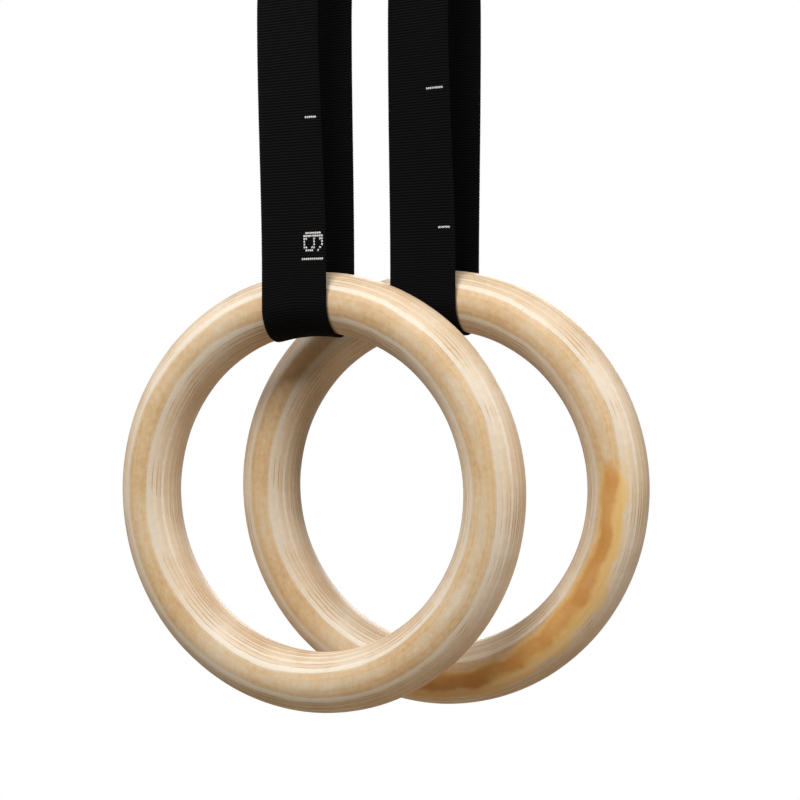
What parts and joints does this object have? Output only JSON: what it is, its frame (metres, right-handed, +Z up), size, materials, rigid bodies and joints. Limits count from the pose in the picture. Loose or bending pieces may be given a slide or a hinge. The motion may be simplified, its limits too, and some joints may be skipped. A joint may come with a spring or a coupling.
{
  "type": "gymnastics rings",
  "caption": "Pair of laminated wooden gymnastics rings, each hung in a webbing strap that loops over a bar and closes in a cam buckle.",
  "frame": {"origin": "centre of the bar seat inside the top loop of the left strap", "axes": "+X along the bar and across the webbing, +Y to the back, +Z up; the rings lie in planes across Y"},
  "size_m": [0.2891, 0.1115, 0.6162],
  "materials": {
    "birch_plywood": "sanded, clear satin lacquer",
    "webbing": "woven nylon, ribbed",
    "thread": "bonded nylon thread",
    "plated_steel": "pressed, nickel plated",
    "bright_steel": "turned and riveted",
    "cast_zinc": "die cast, plated",
    "spring_steel": "oiled spring wire"
  },
  "bodies": {
    "left_hanger": {"left_bar_loop": "webbing", "left_front_run": "webbing", "left_rear_run": "webbing", "left_plate_turn": "webbing", "left_tail_web": "webbing", "left_fold_stitches": "thread", "left_buckle_frame": "plated_steel", "left_anchor_pin": "bright_steel", "left_cam_pin": "bright_steel", "left_cam_spring": "spring_steel"},
    "left_carrier": {"left_front_strap": "webbing", "left_rear_strap": "webbing", "left_strap_bends": "webbing"},
    "left_sling": {"left_ring_sling": "webbing"},
    "left_grip": {"left_ring": "birch_plywood"},
    "left_tail": {"left_tail_hem": "webbing", "left_hem_stitches": "thread"},
    "left_cam": {"left_cam_lever": "cast_zinc"},
    "right_hanger": {"right_bar_loop": "webbing", "right_front_run": "webbing", "right_rear_run": "webbing", "right_plate_turn": "webbing", "right_tail_web": "webbing", "right_fold_stitches": "thread", "right_buckle_frame": "plated_steel", "right_anchor_pin": "bright_steel", "right_cam_pin": "bright_steel", "right_cam_spring": "spring_steel"},
    "right_carrier": {"right_front_strap": "webbing", "right_rear_strap": "webbing", "right_strap_bends": "webbing"},
    "right_sling": {"right_ring_sling": "webbing"},
    "right_grip": {"right_ring": "birch_plywood"},
    "right_tail": {"right_tail_hem": "webbing", "right_hem_stitches": "thread"},
    "right_cam": {"right_cam_lever": "cast_zinc"}
  },
  "joints": [
    {"name": "left_height", "type": "slide", "parent": "left_hanger", "child": "left_carrier", "axis": [0, 0, 1], "range_m": [0, 0.04], "deforming": ["left_front_run", "left_rear_run"]},
    {"name": "left_tail_feed", "type": "slide", "parent": "left_hanger", "child": "left_tail", "axis": [0, 0, 1], "range_m": [-0.08, 0], "deforming": ["left_tail_web"]},
    {"name": "left_ring_tilt", "type": "hinge", "parent": "left_carrier", "child": "left_sling", "pos_m": [0, 0, -0.38146], "axis": [1, 0, 0], "range_deg": [-35, 0], "deforming": ["left_strap_bends"]},
    {"name": "left_ring_spin", "type": "hinge", "parent": "left_sling", "child": "left_grip", "pos_m": [0.0047, 0, -0.48], "axis": [0, 1, 0], "continuous": true},
    {"name": "left_cam_release", "type": "hinge", "parent": "left_hanger", "child": "left_cam", "pos_m": [0, -0.03335, -0.097], "axis": [1, 0, 0], "range_deg": [-25, 0], "stiffness_Nm_per_rad": 0.06, "springref_deg": 20.05},
    {"name": "right_height", "type": "slide", "parent": "right_hanger", "child": "right_carrier", "axis": [0, 0, 1], "range_m": [0, 0.04], "deforming": ["right_front_run", "right_rear_run"]},
    {"name": "right_tail_feed", "type": "slide", "parent": "right_hanger", "child": "right_tail", "axis": [0, 0, 1], "range_m": [-0.08, 0], "deforming": ["right_tail_web"]},
    {"name": "right_ring_tilt", "type": "hinge", "parent": "right_carrier", "child": "right_sling", "pos_m": [0.0565, 0.0411, -0.3785], "axis": [1, 0, 0], "range_deg": [0, 35], "deforming": ["right_strap_bends"]},
    {"name": "right_ring_spin", "type": "hinge", "parent": "right_sling", "child": "right_grip", "pos_m": [0.0584, 0.0411, -0.4778], "axis": [0, 1, 0], "continuous": true},
    {"name": "right_cam_release", "type": "hinge", "parent": "right_hanger", "child": "right_cam", "pos_m": [0.0565, 0.00775, -0.097], "axis": [1, 0, 0], "range_deg": [-25, 0], "stiffness_Nm_per_rad": 0.06, "springref_deg": 20.05},
    {"name": "right_strap_along_bar", "type": "slide", "parent": "left_hanger", "child": "right_hanger", "axis": [1, 0, 0], "range_m": [0, 0.44]}
  ],
  "couplings": [
    {"joint": "left_tail_feed", "follows": "left_height", "ratio": -2},
    {"joint": "right_tail_feed", "follows": "right_height", "ratio": -2}
  ]
}
